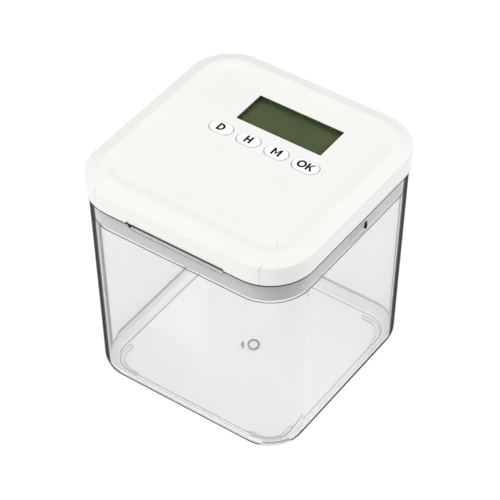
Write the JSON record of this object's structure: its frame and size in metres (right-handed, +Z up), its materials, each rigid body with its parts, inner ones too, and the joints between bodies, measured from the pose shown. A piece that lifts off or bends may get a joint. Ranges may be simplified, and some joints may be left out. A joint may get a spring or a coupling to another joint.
{
  "type": "timed lock container",
  "caption": "Square clear storage tub with a white lift-off lid that holds a timer display, keys, battery bay and a motor-driven pair of side bolts.",
  "frame": {"origin": "centre of the footprint, on the surface the feet rest on", "axes": "+Z up; -Y is the front, with the finger notch and the battery cover; +X is the right side"},
  "size_m": [0.15, 0.15, 0.1576],
  "materials": {
    "clear_plastic": "clear, polished",
    "plug_white": "satin moulded",
    "lid_white": "fine satin moulded",
    "key_white": "satin",
    "steel": "zinc plated",
    "nickel": "nickel plated",
    "brass": "turned",
    "lens_clear": "clear, polished",
    "lcd_olive": "display glass, blank",
    "black_plastic": "moulded",
    "pcb_green": "solder mask",
    "silicone": "translucent silicone",
    "cell_wrap": "plain printed sleeve",
    "lead_insulation": "PVC insulation",
    "acetal": "acetal"
  },
  "bodies": {
    "container": {"container_body": "clear_plastic"},
    "lid": {"lid_base": "plug_white", "lid_top_cover": "lid_white", "lid_screws": "steel", "lcd_lens": "lens_clear", "lcd_panel": "lcd_olive", "lcd_holder": "black_plastic", "main_pcb": "pcb_green", "pcb_screws": "steel", "pcb_components": "black_plastic", "tact_switches": "black_plastic", "piezo_buzzer": "black_plastic", "key_dome_days": "silicone", "key_dome_hours": "silicone", "key_dome_minutes": "silicone", "key_dome_ok": "silicone", "battery_tray": "plug_white", "battery_cell_left": "cell_wrap", "battery_cell_right": "cell_wrap", "battery_contact_plate": "nickel", "battery_spring": "nickel", "battery_leads": "lead_insulation", "motor_can": "nickel", "motor_bracket": "steel", "motor_bracket_screws": "steel", "motor_leads": "lead_insulation", "drive_axle": "steel", "idler_axle": "steel", "gear_plate": "plug_white", "gear_plate_screws": "steel", "bolt_guide_right": "plug_white", "bolt_guide_left": "plug_white", "bolt_guide_screws": "steel"},
    "battery_cover": {"battery_cover": "lid_white"},
    "key_days": {"key_days": "key_white"},
    "key_hours": {"key_hours": "key_white"},
    "key_minutes": {"key_minutes": "key_white"},
    "key_ok": {"key_ok": "key_white"},
    "lock_bolt_right": {"lock_bolt_right": "acetal"},
    "lock_bolt_left": {"lock_bolt_left": "acetal"},
    "drive_gear": {"drive_gear": "acetal"},
    "idler_gear": {"idler_gear": "acetal"},
    "motor_rotor": {"motor_pinion": "brass", "motor_shaft": "steel"}
  },
  "joints": [
    {"name": "lid_lift", "type": "slide", "parent": "container", "child": "lid", "axis": [0, 0, 1], "range_m": [0, 0.08]},
    {"name": "battery_cover_slide", "type": "slide", "parent": "lid", "child": "battery_cover", "axis": [0, -1, 0], "range_m": [0, 0.03]},
    {"name": "key_days_press", "type": "slide", "parent": "lid", "child": "key_days", "axis": [0, 0, -1], "range_m": [0, 0.0008], "stiffness_N_per_m": 900, "springref_m": -0.0006, "deforming": ["key_dome_days"]},
    {"name": "key_hours_press", "type": "slide", "parent": "lid", "child": "key_hours", "axis": [0, 0, -1], "range_m": [0, 0.0008], "stiffness_N_per_m": 900, "springref_m": -0.0006, "deforming": ["key_dome_hours"]},
    {"name": "key_minutes_press", "type": "slide", "parent": "lid", "child": "key_minutes", "axis": [0, 0, -1], "range_m": [0, 0.0008], "stiffness_N_per_m": 900, "springref_m": -0.0006, "deforming": ["key_dome_minutes"]},
    {"name": "key_ok_press", "type": "slide", "parent": "lid", "child": "key_ok", "axis": [0, 0, -1], "range_m": [0, 0.0008], "stiffness_N_per_m": 900, "springref_m": -0.0006, "deforming": ["key_dome_ok"]},
    {"name": "drive_gear_turn", "type": "hinge", "parent": "lid", "child": "drive_gear", "pos_m": [0, 0, 0.142], "axis": [0, 0, 1], "range_deg": [0, 25.46]},
    {"name": "right_bolt_slide", "type": "slide", "parent": "lid", "child": "lock_bolt_right", "axis": [1, 0, 0], "range_m": [0, 0.0041]},
    {"name": "left_bolt_slide", "type": "slide", "parent": "lid", "child": "lock_bolt_left", "axis": [-1, 0, 0], "range_m": [0, 0.0041]},
    {"name": "idler_gear_turn", "type": "hinge", "parent": "lid", "child": "idler_gear", "pos_m": [0.00435, 0.01623, 0.142], "axis": [0, 0, 1], "range_deg": [-77.39, 0]},
    {"name": "motor_turn", "type": "hinge", "parent": "lid", "child": "motor_rotor", "pos_m": [0.01033, 0.03267, 0.142], "axis": [0, 0, 1], "range_deg": [0, 307.58]}
  ],
  "couplings": [
    {"joint": "right_bolt_slide", "follows": "drive_gear_turn", "m_per_rad": 0.009},
    {"joint": "left_bolt_slide", "follows": "drive_gear_turn", "m_per_rad": 0.009},
    {"joint": "idler_gear_turn", "follows": "drive_gear_turn", "ratio": -3},
    {"joint": "motor_turn", "follows": "drive_gear_turn", "ratio": 12}
  ]
}
